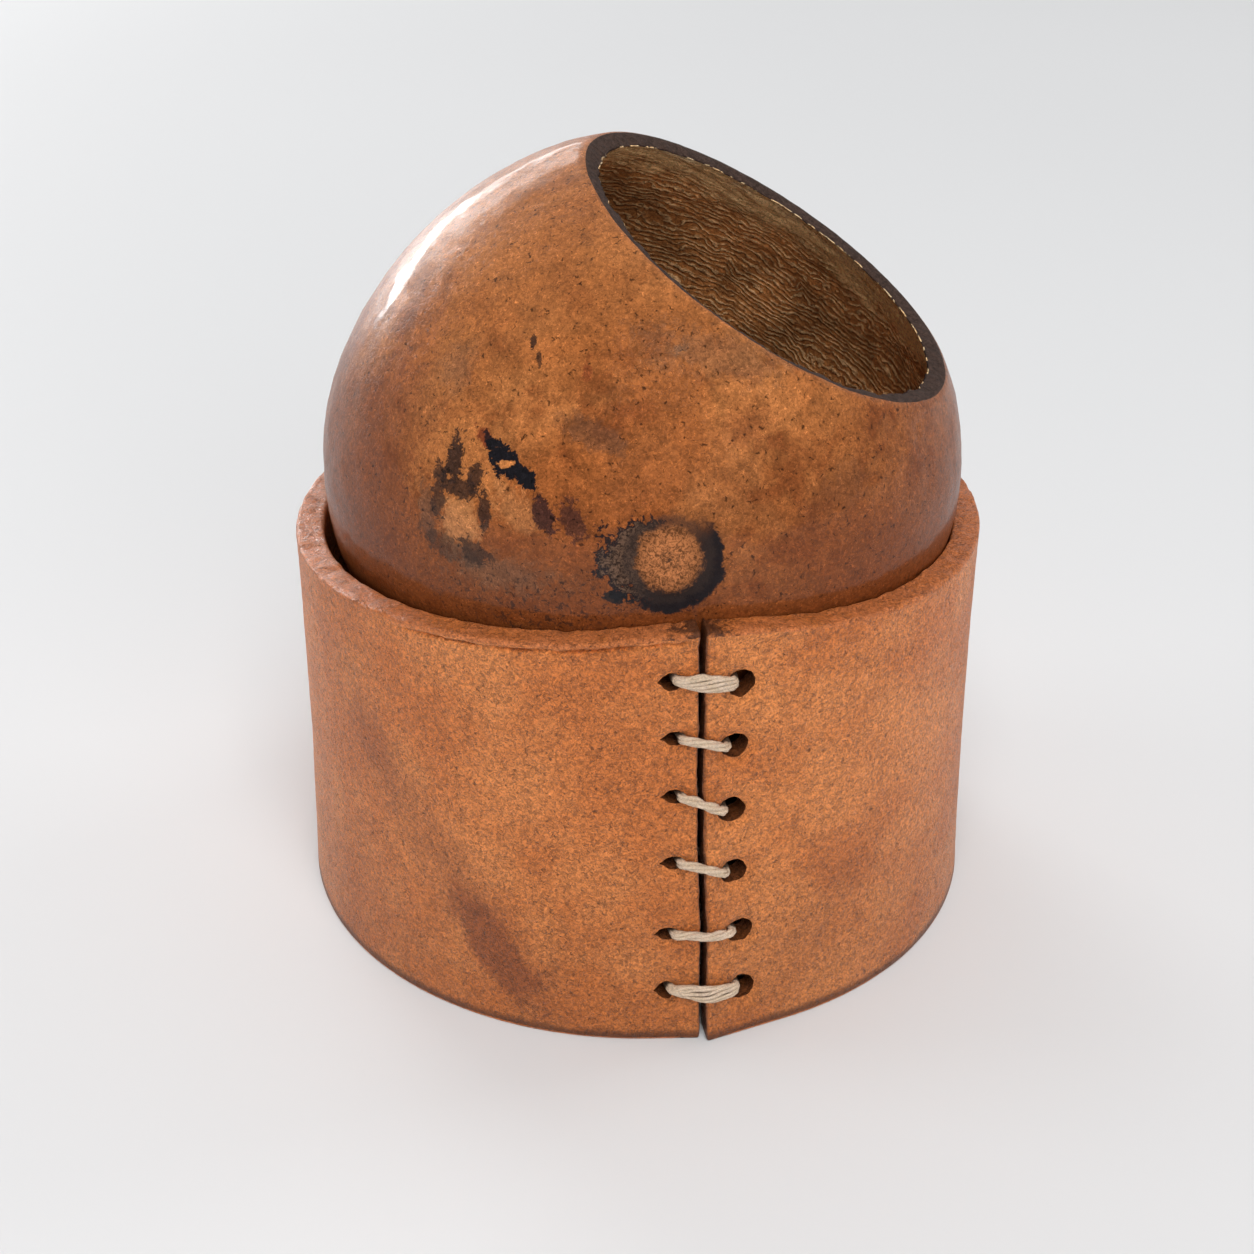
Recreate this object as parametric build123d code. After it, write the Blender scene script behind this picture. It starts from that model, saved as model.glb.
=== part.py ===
from build123d import *
import math
import os

# A calabash gourd cup, cut open at a slant, resting in a ring of thick leather
# that is laced shut at the front. Millimetres, +Z up, the seam faces -Y.

# Gourd: radius, its swell with latitude, and where it sits
gourd_radius = 35.1
gourd_flattening = 0.017
gourd_top_heavy = 0.0125
gourd_fullness = 0.0105
gourd_shell = 1.6
gourd_lean = (0.47, -0.13)
gourd_above_rim = 6.25
seat_clearance = 0.12
profile_step = 15

# Leather ring, cut to go round the gourd
gourd_room = 0.95
leather = 3.2
ring_rim_radius = gourd_radius + gourd_room + leather
ring_flare = 0.75
ring_foot_radius = ring_rim_radius + ring_flare
ring_waist = 0.35
ring_height = 46.9
seam_gap = 0.6
foot_end_angles = (9.0, 14.0)
rim_end_angles = (5.6, 5.2)

# Rim of the ring: it slopes a little, dips at both sides and peaks at the seam
rim_slope = 0.8
rim_slope_toward = 20.0
rim_dip = 1.05
rim_dip_turn = -8.6
seam_peak = 1.55
seam_peak_width = 14.0
rim_grid = 5.0

# Mouth: a slanted cut whose face falls towards the inside
mouth_tilt = 31.3
mouth_toward = -20.8
mouth_share = 0.774
lip_slope = 12.0

# Lacing: six stitches, each with its own pair of holes
hole_left = (1.6, 1.8)
hole_right_radius = 1.4
thread = 1.16
thread_clearance = 0.15
hole_clearance = 0.35
thread_bow = 0.45
thread_bend = 0.9
bow_bend = 6.0
groove_share = 0.85
# distance left and right of the seam, share of the ring's height left and right, thread height
stitch_rows = (
    (3.9, 3.5, 0.955, 0.934, 2.1),
    (3.6, 3.4, 0.812, 0.780, thread),
    (3.6, 3.1, 0.663, 0.625, thread),
    (3.6, 3.3, 0.488, 0.456, thread),
    (4.2, 4.1, 0.294, 0.284, thread),
    (4.2, 4.4, 0.139, 0.126, 2.2),
)


def wall_radius(height):
    """Outside radius of the ring at a height: it narrows upwards and has a slight waist."""
    share = height / ring_height
    straight = ring_foot_radius + (ring_rim_radius - ring_foot_radius) * share
    return straight - 4 * ring_waist * share * (1 - share)


def end_angle(height, side):
    """Degrees from the seam at which the wall leaves its circle and runs on straight."""
    share = height / ring_height
    return foot_end_angles[side] + (rim_end_angles[side] - foot_end_angles[side]) * share


def wall_front(distance, height, side, depth=0):
    """Y of the straight end of the wall, at a distance from the seam plane."""
    angle = math.radians(end_angle(height, side))
    reach = wall_radius(height) - depth
    return -(reach - distance * math.sin(angle)) / math.cos(angle)


def band_side(height, depth):
    """The outline of one face of the band: straight end, long arc, straight end."""
    reach = wall_radius(height) - depth
    left, right = (math.radians(end_angle(height, side)) for side in (0, 1))
    left_end = (-seam_gap / 2, wall_front(seam_gap / 2, height, 0, depth), height)
    left_tangent = (-reach * math.sin(left), -reach * math.cos(left), height)
    right_tangent = (reach * math.sin(right), -reach * math.cos(right), height)
    right_end = (seam_gap / 2, wall_front(seam_gap / 2, height, 1, depth), height)
    arc = ThreePointArc(left_tangent, (0, reach, height), right_tangent)
    return [Line(left_end, left_tangent), arc, Line(right_tangent, right_end)]


def band_section(height):
    """The closed plan of the band at a height."""
    outer = band_side(height, 0)
    inner = band_side(height, leather)
    ends = [Line(outer[0] @ 0, inner[0] @ 0), Line(outer[2] @ 1, inner[2] @ 1)]
    return Wire([piece.edge() for piece in outer + inner + ends])


def rim_height(x, y):
    """Height of the rim, as a smooth surface over the whole plan."""
    toward = math.radians(rim_slope_toward)
    turn = math.radians(rim_dip_turn)
    along_x = x / ring_rim_radius
    along_y = -y / ring_rim_radius
    slope = rim_slope * (along_x * math.sin(toward) + along_y * math.cos(toward))
    u = along_x * math.cos(turn) - along_y * math.sin(turn)
    v = along_x * math.sin(turn) + along_y * math.cos(turn)
    dip = rim_dip * (v * v - u * u)
    from_seam = math.hypot(x, y + ring_rim_radius)
    peak = seam_peak * math.exp(-((from_seam / seam_peak_width) ** 2))
    return ring_height + slope + dip + peak


def above_rim():
    """Everything above the uneven rim."""
    count = math.ceil((ring_foot_radius + 2 * rim_grid) / rim_grid)
    places = [rim_grid * step for step in range(-count, count + 1)]
    points = [[Vector(x, y, rim_height(x, y)) for y in places] for x in places]
    return extrude(Face.make_surface_from_array_of_points(points), 4 * seam_peak, dir=(0, 0, 1))


gourd_centre = Vector(*gourd_lean, ring_height + gourd_above_rim)


def gourd_reach(latitude):
    """Distance from the gourd's centre to its skin, by the angle down from the top."""
    swell = -gourd_flattening * math.cos(2 * latitude)
    swell += gourd_top_heavy * math.cos(3 * latitude)
    swell += gourd_fullness * math.cos(4 * latitude)
    return gourd_radius * (1 + swell)


def gourd_body(grow):
    """The whole round gourd, with its skin moved out by grow."""
    points = []
    for degrees in range(0, 181, profile_step):
        latitude = math.radians(degrees)
        reach = gourd_reach(latitude) + grow
        points.append((reach * math.sin(latitude), 0, reach * math.cos(latitude)))
    points[0] = (0, *points[0][1:])
    points[-1] = (0, *points[-1][1:])
    skin = Spline(*points, tangents=[(1, 0, 0), (-1, 0, 0)])
    half = make_face([skin.edge(), Line(points[-1], points[0]).edge()])
    return Pos(*gourd_centre) * revolve(half, Axis.Z)


def mouth_cut():
    """What the slanted cut takes off, with the funnel shape of its face."""
    middle = gourd_reach(math.radians(mouth_tilt))
    plane_out = mouth_share * middle
    edge = math.sqrt(middle**2 - plane_out**2)
    fall = math.tan(math.radians(lip_slope))
    wide = 2 * gourd_radius
    outline = Polyline(
        (0, 0, plane_out - edge * fall),
        (wide, 0, plane_out + (wide - edge) * fall),
        (wide, 0, 2 * wide),
        (0, 0, 2 * wide),
        close=True,
    )
    cutter = revolve(make_face(outline.edges()), Axis.Z)
    return Pos(*gourd_centre) * Rot(0, 0, mouth_toward) * Rot(0, mouth_tilt, 0) * cutter


def stitch_ends(row):
    """Distances from the seam and heights of a stitch's two holes."""
    left, right, left_share, right_share, _ = row
    return left, right, left_share * ring_height, right_share * ring_height


def stitch_frame(row):
    """A stitch's own frame: X from the left hole to the right one, Y as in the ring."""
    left, right, left_height, right_height = stitch_ends(row)
    middle = Vector((right - left) / 2, 0, (left_height + right_height) / 2)
    across = Vector(left + right, 0, right_height - left_height)
    return Plane(origin=middle, x_dir=across, z_dir=across.cross(Vector(0, 1, 0)))


def stitch_depths(row):
    """Where the thread runs outside at either hole and over the seam, and inside."""
    left, right, left_height, right_height = stitch_ends(row)
    stand_off = thread / 2 + thread_clearance
    outside_left = wall_front(left, left_height, 0) - stand_off
    outside_right = wall_front(right, right_height, 1) - stand_off
    height = (left_height + right_height) / 2
    ridge = min(wall_front(0, height, side) for side in (0, 1))
    over_seam = min(ridge - stand_off, outside_left, outside_right) - thread_bow
    inside = max(wall_front(right, height, 1, leather), wall_front(left, height, 0, leather))
    return outside_left, over_seam, outside_right, inside - thread * (groove_share - 0.5)


def stitch(row):
    """One loop of thread: over the seam, in at the right hole, back inside, out at the left."""
    left, right, left_height, right_height = stitch_ends(row)
    plane = stitch_frame(row)
    half = math.hypot(left + right, right_height - left_height) / 2
    outside_left, over_seam, outside_right, inside = stitch_depths(row)
    corners = [
        (0, inside),
        (half, inside),
        (half, outside_right),
        (0, over_seam),
        (-half, outside_left),
        (-half, inside),
    ]
    points = [plane.from_local_coords((x, y, 0)) for x, y in corners]
    bends = [0, thread_bend, thread_bend, bow_bend, thread_bend, thread_bend]
    path = FilletPolyline(*points, radius=bends, close=True)
    start = Plane(origin=path @ 0, x_dir=plane.z_dir, z_dir=path % 0)
    return sweep(start * Ellipse(row[-1] / 2, thread / 2), path=path)


def lacing_cuts(row):
    """The pair of holes of a stitch, and the groove that sinks its inner run."""
    left, right, left_height, right_height = stitch_ends(row)
    tall = row[-1]
    facing = Plane(origin=(0, -ring_foot_radius - leather, 0), x_dir=(1, 0, 0), z_dir=(0, 1, 0))
    through = 3 * leather
    slit = Ellipse(hole_left[0] / 2, max(hole_left[1] / 2, tall / 2 + hole_clearance))
    cuts = [extrude(facing * Pos(-left, -left_height) * slit, through)]
    round_hole = Circle(max(hole_right_radius, tall / 2 + hole_clearance))
    cuts.append(extrude(facing * Pos(right, -right_height) * round_hole, through))
    plane = stitch_frame(row)
    inside = stitch_depths(row)[3] - thread / 2 - thread_clearance
    length = math.hypot(left + right, right_height - left_height)
    bed = Plane(origin=plane.from_local_coords((0, inside, 0)), x_dir=plane.x_dir, z_dir=(0, 1, 0))
    cuts.append(extrude(bed * Rectangle(length, tall + 2 * thread_clearance), leather))
    return cuts


def leather_ring():
    """The band, its rim trimmed uneven, pressed to the gourd, with its lacing holes."""
    top = ring_height + 3 * seam_peak
    band = Solid.make_loft([band_section(height) for height in (0, top / 2, top)])
    band -= above_rim()
    for row in stitch_rows:
        band -= lacing_cuts(row)
    return band - gourd_body(seat_clearance)


def gourd_cup():
    """The hollow gourd, open at its slanted mouth."""
    return gourd_body(0) - gourd_body(-gourd_shell) - mouth_cut()


pieces = {"leather_ring": leather_ring(), "gourd_cup": gourd_cup()}
for number, row in enumerate(stitch_rows, 1):
    pieces[f"stitch_{number}"] = stitch(row)

# The origin goes to the bottom centre of everything.
boxes = [piece.bounding_box() for piece in pieces.values()]
low = Vector(*(min(getattr(box.min, axis) for box in boxes) for axis in "XYZ"))
high = Vector(*(max(getattr(box.max, axis) for box in boxes) for axis in "XYZ"))
middle = (low + high) / 2
to_origin = Pos(-middle.X, -middle.Y, -low.Z)

os.makedirs("parts", exist_ok=True)
for name, piece in pieces.items():
    export_step(to_origin * piece, f"parts/{name}.step")
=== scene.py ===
"""A calabash gourd cup in a laced ring of thick leather, with its studio stage."""

import math
import random

import bpy
import numpy as np
from mathutils import Matrix, Vector, noise


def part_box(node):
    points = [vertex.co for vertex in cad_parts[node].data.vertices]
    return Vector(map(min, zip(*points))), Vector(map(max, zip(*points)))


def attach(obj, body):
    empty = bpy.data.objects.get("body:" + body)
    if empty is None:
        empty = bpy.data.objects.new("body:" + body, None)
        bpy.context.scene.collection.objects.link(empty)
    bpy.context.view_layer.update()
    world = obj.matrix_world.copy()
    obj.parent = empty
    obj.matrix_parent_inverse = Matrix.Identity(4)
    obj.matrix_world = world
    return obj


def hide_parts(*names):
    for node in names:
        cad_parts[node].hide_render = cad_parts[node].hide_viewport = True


bl_info = {
    "name": "Gourd Cup in Leather Ring",
    "version": (1, 0, 0),
    "blender": (4, 5, 0),
    "location": "View3D > Sidebar > Gourd Cup",
    "description": "Makes a varnished gourd cup, its laced leather ring and a studio stage",
    "category": "Add Mesh",
}

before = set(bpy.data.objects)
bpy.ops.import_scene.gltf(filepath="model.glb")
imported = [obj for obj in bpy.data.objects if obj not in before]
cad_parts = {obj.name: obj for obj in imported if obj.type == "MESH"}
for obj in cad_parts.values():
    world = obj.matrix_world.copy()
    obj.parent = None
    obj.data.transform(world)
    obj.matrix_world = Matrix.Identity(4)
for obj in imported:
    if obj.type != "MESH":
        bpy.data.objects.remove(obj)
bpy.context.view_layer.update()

MM = 0.001
RING_LOW, RING_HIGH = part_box("leather_ring")
GOURD_LOW, GOURD_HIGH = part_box("gourd_cup")
STITCHES = sorted(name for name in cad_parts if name.startswith("stitch_"))
# The ring is round but for its laced front, so its axis lies a foot radius from its back.
FOOT_RADIUS = (RING_HIGH.x - RING_LOW.x) / 2 / MM
RING_CENTRE = Vector(((RING_LOW.x + RING_HIGH.x) / 2, RING_HIGH.y - FOOT_RADIUS * MM, 0))


# ---------------------------------------------------------------- settings


def length(name, description, reach):
    return bpy.props.FloatProperty(
        name=name, description=description, default=reach * MM, unit="LENGTH"
    )


def angle(name, description, turn):
    return bpy.props.FloatProperty(
        name=name, description=description, default=math.radians(turn), subtype="ANGLE"
    )


def number(name, description, value):
    return bpy.props.FloatProperty(name=name, description=description, default=value)


def paint(name, description, *colour):
    return bpy.props.FloatVectorProperty(
        name=name, description=description, default=colour, subtype="COLOR"
    )


class GourdSettings(bpy.types.PropertyGroup):
    radius: length("Radius", "Mean radius of the gourd", 35.1)
    flattening: number("Flattening", "How much wider than tall the gourd is", 0.017)
    top_heavy: number("Top heavy", "How much the gourd swells above its middle", 0.0125)
    fullness: number("Fullness", "How full its top, middle and foot are", 0.0105)
    shell: length("Shell", "Wall thickness", 1.6)
    mouth_tilt: angle("Mouth tilt", "Lean of the cut from level", 31.3)
    mouth_toward: angle("Mouth toward", "Compass direction in which the mouth leans", -20.8)
    mouth_share: number("Mouth share", "Distance of the cut from the centre, over the radius", 0.774)
    skin: paint("Skin", "Varnished skin", 0.29, 0.088, 0.022)
    # also the painted light blended over the top of the gourd
    skin_pale_and_lit: paint("Pale skin", "Paler patches of the skin", 0.365, 0.130, 0.038)
    # also the painted shade blended over the lower half and the flanks of the gourd
    skin_dark_and_shade: paint("Dark skin", "Darker, redder patches", 0.150, 0.037, 0.009)
    stain: paint("Stain", "Black marks", 0.008, 0.007, 0.009)
    lip: paint("Lip", "Scorched cut lip", 0.055, 0.034, 0.027)
    inside: paint("Inside", "Bare inside", 0.46, 0.185, 0.058)
    inside_fibre: paint("Inside fibre", "Dry fibres that stand out inside", 0.95, 0.60, 0.30)


class LeatherSettings(bpy.types.PropertyGroup):
    thickness: length("Thickness", "Thickness of the leather", 3.2)
    seam_gap: length("Seam gap", "Gap between the laced ends", 0.6)
    grain_side: paint("Grain side", "Smooth face", 0.485, 0.143, 0.035)
    grain_pale: paint("Pale grain", "Paler grain", 0.585, 0.200, 0.058)
    grain_dark: paint("Dark grain", "Rubbed and darkened grain", 0.27, 0.074, 0.023)
    cut_edge: paint("Cut edge", "Cut edges", 0.50, 0.152, 0.046)


class ThreadSettings(bpy.types.PropertyGroup):
    thickness: length("Thickness", "Thickness of thread", 1.02)
    colour: paint("Thread", "Undyed thread", 0.65, 0.50, 0.375)


class StageSettings(bpy.types.PropertyGroup):
    lens: number("Lens", "Focal length in millimetres", 58.56)
    distance: length("Distance", "Camera to foot centre", 260)
    turn: angle("Turn", "Camera left of the seam", 10.54)
    height: angle("Height", "Camera angle over the floor", 34.75)
    floor: paint("Floor", "Pale floor", 0.72, 0.722, 0.725)


# ---------------------------------------------------------------- shader helpers


def add(tree, kind, **settings):
    """A shader node with its settings."""
    made = tree.nodes.new(kind)
    for key, value in settings.items():
        setattr(made, key, value)
    return made


def feed(tree, node, **inputs):
    """Sets or links a node's inputs by name, with _ for a space, or by number as in n0."""
    for key, value in inputs.items():
        numbered = key[0] == "n" and key[1:].isdigit()
        socket = node.inputs[int(key[1:]) if numbered else key.replace("_", " ")]
        if isinstance(value, bpy.types.NodeSocket):
            tree.links.new(value, socket)
        elif socket.type == "RGBA" and len(value) == 3:
            socket.default_value = (*value, 1.0)
        else:
            socket.default_value = value
    return node


def maths(tree, operation, *values, clamp=False):
    node = add(tree, "ShaderNodeMath", operation=operation, use_clamp=clamp)
    feed(tree, node, **{f"n{index}": value for index, value in enumerate(values)})
    return node.outputs[0]


def times(tree, first, second):
    return maths(tree, "MULTIPLY", first, second)


def line(tree, value, slope, start):
    """A straight line: slope times the value, plus a start."""
    return maths(tree, "MULTIPLY_ADD", value, slope, start)


def vectors(tree, operation, *values):
    node = add(tree, "ShaderNodeVectorMath", operation=operation)
    feed(tree, node, **{f"n{index}": value for index, value in enumerate(values)})
    single = operation in ("LENGTH", "DISTANCE", "DOT_PRODUCT")
    return node.outputs["Value" if single else "Vector"]


def scaled(tree, vector, factor):
    node = add(tree, "ShaderNodeVectorMath", operation="SCALE")
    return feed(tree, node, Vector=vector, Scale=factor).outputs[0]


def ramp(tree, value, low, high, to_low=0.0, to_high=1.0):
    """A smooth step from to_low at low to to_high at high."""
    node = add(tree, "ShaderNodeMapRange", interpolation_type="SMOOTHSTEP")
    feed(tree, node, Value=value, From_Min=low, From_Max=high, To_Min=to_low, To_Max=to_high)
    return node.outputs[0]


def blend(tree, share, first, second, mode="MIX"):
    """A mix of two colours, each a socket or three numbers."""
    node = add(tree, "ShaderNodeMix", data_type="RGBA", blend_type=mode)
    return feed(tree, node, n0=share, n6=first, n7=second).outputs[2]


def shade(tree, colour, factor):
    """A colour made lighter or darker by a factor that changes over the surface."""
    grey = add(tree, "ShaderNodeCombineColor")
    feed(tree, grey, Red=factor, Green=factor, Blue=factor)
    return blend(tree, 1.0, colour, grey.outputs[0], "MULTIPLY")


def cloud(tree, vector, size, detail=3.0, rough=0.55, bend=0.0):
    """Noise about 0.5 with blobs of a size in millimetres; vector is in millimetres."""
    node = add(tree, "ShaderNodeTexNoise")
    feed(tree, node, Vector=vector, Scale=1 / size, Detail=detail, Roughness=rough, Distortion=bend)
    return node.outputs[0]


def group(name, inputs, outputs):
    """An empty node group with typed sockets, and its input and output nodes."""
    tree = bpy.data.node_groups.new(name, "ShaderNodeTree")
    for socket, kind, value in inputs:
        made = tree.interface.new_socket(name=socket, in_out="INPUT", socket_type=kind)
        if value is not None:
            made.default_value = value
    for socket in outputs:
        tree.interface.new_socket(name=socket, in_out="OUTPUT", socket_type="NodeSocketFloat")
    return tree, tree.nodes.new("NodeGroupInput").outputs, tree.nodes.new("NodeGroupOutput")


def ragged_spot_group():
    """A blot with a torn outline: an ellipse on a chart, its edge pushed about by a rag."""
    tree, given, end = group(
        "Ragged spot",
        [
            ("Chart", "NodeSocketVector", None),
            ("Centre", "NodeSocketVector", (0, 0, 0)),
            ("Reach", "NodeSocketVector", (1, 1, 1)),
            ("Turn", "NodeSocketFloat", 0.0),
            ("Rag", "NodeSocketFloat", 0.0),
            ("Softness", "NodeSocketFloat", 0.2),
        ],
        ["Mask", "Depth"],
    )
    away = vectors(tree, "SUBTRACT", given["Chart"], given["Centre"])
    turned = add(tree, "ShaderNodeVectorRotate", rotation_type="Z_AXIS")
    feed(tree, turned, Vector=away, Angle=given["Turn"])
    share = vectors(tree, "DIVIDE", turned.outputs[0], given["Reach"])
    depth = maths(tree, "SUBTRACT", 1.0, vectors(tree, "LENGTH", share))
    torn = maths(tree, "ADD", depth, given["Rag"])
    mask = ramp(tree, torn, times(tree, given["Softness"], -1.0), given["Softness"])
    feed(tree, end, Mask=mask, Depth=torn)
    return tree


def curly_grain_group():
    """Short curly fibres, dark specks and a fine grain, for skin, leather and thread."""
    tree, given, end = group(
        "Curly grain",
        [("Place", "NodeSocketVector", None), ("Size", "NodeSocketFloat", 1.0)],
        ["Fibres", "Specks", "Grain", "Height"],
    )
    place = scaled(tree, given["Place"], maths(tree, "DIVIDE", 1.0, given["Size"]))
    line_noise = cloud(tree, place, 1.9, 2.0, 0.6, 2.2)
    from_line = maths(tree, "ABSOLUTE", maths(tree, "SUBTRACT", line_noise, 0.5))
    lines = ramp(tree, from_line, 0.0, 0.035, 1.0, 0.0)
    broken = ramp(tree, cloud(tree, place, 1.3, 1.0), 0.47, 0.6)
    fibres = times(tree, lines, broken)
    shifted = vectors(tree, "ADD", place, (37.0, 11.0, 5.0))
    specks = ramp(tree, cloud(tree, shifted, 1.1, 2.0, 0.5, 0.6), 0.62, 0.72)
    grain = cloud(tree, shifted, 0.85, 3.0, 0.65, 1.2)
    height = line(tree, fibres, 0.5, grain)
    feed(
        tree,
        end,
        Fibres=fibres,
        Specks=specks,
        Grain=grain,
        Height=line(tree, specks, -0.5, height),
    )
    return tree


def shared(tree, name, **inputs):
    """A shared node group, made when it is first used, placed with its own values."""
    makers = {"Ragged spot": ragged_spot_group, "Curly grain": curly_grain_group}
    kept = bpy.data.node_groups.get(name) or makers[name]()
    return feed(tree, add(tree, "ShaderNodeGroup", node_tree=kept), **inputs).outputs


def paint_spots(tree, chart, colour, torn, spots, colours):
    """Paints spots: centre, half sizes, tilt in degrees, softness, strength and colour."""
    for centre, reach, tilt, softness, strength, name in spots:
        spot = shared(
            tree,
            "Ragged spot",
            Chart=chart,
            Centre=(*centre, 0.0),
            Reach=(*reach, 1.0),
            Turn=math.radians(-tilt),
            Rag=torn,
            Softness=softness,
        )
        colour = blend(tree, times(tree, spot["Mask"], strength), colour, colours[name])
    return colour


def grained(tree, colour, grain, coarse, fine_swing, coarse_swing, fibres, specks):
    """A colour with the lights and darks of its grain, its fibres and its specks."""
    speckled = ramp(tree, grain["Grain"], *fine_swing)
    speckled = times(tree, speckled, ramp(tree, coarse["Grain"], 0.35, 0.65, *coarse_swing))
    colour = shade(tree, colour, speckled)
    colour = shade(tree, colour, line(tree, grain["Fibres"], fibres, 1.0))
    return shade(tree, colour, line(tree, grain["Specks"], specks, 1.0))


def new_material(name):
    material = bpy.data.materials.new(name)
    material.use_nodes = True
    return material, material.node_tree, material.node_tree.nodes["Principled BSDF"]


def millimetres(tree, centre):
    """Object coordinates in millimetres from a point."""
    place = add(tree, "ShaderNodeTexCoord").outputs["Object"]
    return scaled(tree, vectors(tree, "SUBTRACT", place, tuple(centre)), 1 / MM)


def bump(tree, height, distance, normal=None):
    """A normal from a height of 0 to 1, over a distance in millimetres."""
    node = add(tree, "ShaderNodeBump")
    feed(tree, node, Height=height, Distance=distance * MM, Strength=1.0)
    if normal is not None:
        feed(tree, node, Normal=normal)
    return node.outputs[0]


def round_chart(tree, place, degrees_up):
    """Turn from the seam towards +X in degrees, and height in degrees or in millimetres."""
    x, y, z = feed(tree, add(tree, "ShaderNodeSeparateXYZ"), Vector=place).outputs
    turn = maths(tree, "ARCTAN2", x, times(tree, y, -1.0))
    turn = maths(tree, "DEGREES", turn)
    height = z
    if degrees_up:
        square = line(tree, x, x, times(tree, y, y))
        height = maths(tree, "DEGREES", maths(tree, "ARCTAN2", z, maths(tree, "SQRT", square)))
    chart = feed(tree, add(tree, "ShaderNodeCombineXYZ"), X=turn, Y=height)
    return chart.outputs[0], turn, height


# ---------------------------------------------------------------- mesh helpers


def new_piece(name, points, faces, materials, slots=None):
    """A smooth-shaded mesh object in the scene."""
    mesh = bpy.data.meshes.new(name)
    mesh.from_pydata([tuple(point) for point in points], [], faces)
    for material in materials:
        mesh.materials.append(material)
    if slots is not None:
        mesh.polygons.foreach_set("material_index", slots)
    mesh.polygons.foreach_set("use_smooth", [True] * len(mesh.polygons))
    mesh.update()
    piece = bpy.data.objects.new(name, mesh)
    bpy.context.scene.collection.objects.link(piece)
    return piece


def noise_at(points, size, seed, octaves=3):
    """Fractal noise about zero at points in millimetres, with blobs of a size."""
    shift = Vector((seed * 7.3, seed * 3.1, seed * 5.7))
    flat = np.asarray(points).reshape(-1, 3) / size
    found = [noise.fractal(Vector(point) + shift, 0.6, 2.0, octaves) for point in flat]
    return np.array(found).reshape(np.shape(points)[:-1])


def smooth_step(value, low, high):
    share = np.clip((value - low) / (high - low), 0, 1)
    return share * share * (3 - 2 * share)


def rows_to_faces(rows):
    """Faces between neighbouring closed rows, with fans at rows of a single point."""
    starts = np.cumsum([0] + [len(row) for row in rows])
    faces, bands = [], []
    for band, (first, second) in enumerate(zip(rows[:-1], rows[1:])):
        columns = max(len(first), len(second))
        here, there = starts[band], starts[band + 1]
        for column in range(columns):
            following = (column + 1) % columns
            if len(first) == 1:
                faces.append((here, there + following, there + column))
            elif len(second) == 1:
                faces.append((here + column, here + following, there))
            else:
                faces.append((here + column, here + following, there + following, there + column))
            bands.append(band)
    return faces, bands


# ---------------------------------------------------------------- gourd

# Way across the fibres inside and their spacing in millimetres
FIBRE_LEVEL, FIBRE_SPACING = (0.37, -0.2, 0.91), 0.78

# The round scar, by turn from the seam and height over the gourd's middle, in degrees
SCAR_TURN, SCAR_HEIGHT, SCAR_REACH = -6.3, 5.9, 5.4

# Natural stains of the skin: turn and height in degrees, half length and half width in
# degrees, tilt in degrees, softness, strength and colour
SKIN_STAINS = (
    ((5.0, 38.5), (15.0, 4.0), -13, 0.5, 0.35, "grey"),
    ((-3.1, 39.8), (1.7, 1.0), 20, 0.5, 0.7, "grey"),
    ((-50.1, 33.1), (4.0, 3.5), 0, 0.6, 0.4, "grey"),
    ((-19.0, 25.4), (6.2, 2.3), -24, 0.4, 0.6, "brown"),
    ((-21.8, 36.2), (0.9, 1.9), 0, 0.3, 0.7, "red"),
    ((-43.0, 16.5), (8.0, 7.5), 0, 0.5, 0.55, "orange"),
    ((-41.8, 8.4), (4.4, 4.2), -40, 0.35, 0.6, "tan"),
    ((-31.5, 12.5), (4.5, 3.0), -20, 0.5, 0.4, "tan"),
    ((-48.2, 8.6), (1.7, 5.0), 12, 0.3, 0.75, "brown"),
    ((-43.3, 3.4), (5.2, 2.3), -12, 0.4, 0.7, "umber"),
    ((-34.0, 1.5), (9.0, 3.2), 0, 0.6, 0.5, "grey"),
    ((-44.2, 18.2), (1.9, 4.0), 8, 0.16, 0.95, "umber"),
    ((-42.6, 14.0), (4.3, 1.9), 0, 0.16, 0.9, "umber"),
    ((-37.2, 11.2), (1.3, 2.8), 8, 0.16, 0.9, "umber"),
    ((-39.3, 22.8), (2.2, 1.1), -35, 0.3, 0.95, "red"),
    ((-26.9, 12.8), (1.7, 3.5), 25, 0.16, 0.92, "purple"),
    ((-21.8, 11.9), (1.7, 3.1), 32, 0.2, 0.75, "purple"),
    ((-46.5, 12.0), (1.6, 4.6), 10, 0.16, 0.85, "umber"),
    ((-39.8, 16.5), (1.5, 2.6), -10, 0.16, 0.9, "umber"),
    ((-38.0, 4.2), (3.4, 1.6), -15, 0.2, 0.8, "umber"),
    ((-34.9, 19.9), (3.6, 1.9), -40, 0.1, 1.0, "black"),
    ((-31.0, 18.0), (4.2, 1.3), -35, 0.1, 1.0, "black"),
    ((-37.2, 21.6), (3.6, 0.8), -38, 0.15, 0.9, "black"),
    ((-34.4, 19.3), (1.2, 0.6), 10, 0.2, 1.0, "orange"),
    ((-14.6, -0.3), (2.2, 1.2), -10, 0.15, 1.0, "black"),
    ((-34.6, 39.6), (0.75, 1.5), 20, 0.16, 0.9, "umber"),
    ((-32.4, 37.2), (0.6, 1.7), 25, 0.16, 0.8, "umber"),
    ((25.0, 13.0), (7.0, 3.0), 20, 0.7, 0.35, "brown"),
    ((9.0, 26.0), (5.0, 3.0), 0, 0.7, 0.35, "red"),
    ((105.0, 20.0), (9.0, 5.0), 30, 0.5, 0.5, "brown"),
    ((150.0, 35.0), (6.0, 9.0), 10, 0.5, 0.5, "umber"),
    ((-140.0, 15.0), (8.0, 3.0), 35, 0.4, 0.6, "brown"),
    ((-118.0, 28.0), (1.6, 3.2), 25, 0.3, 0.8, "umber"),
)


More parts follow.
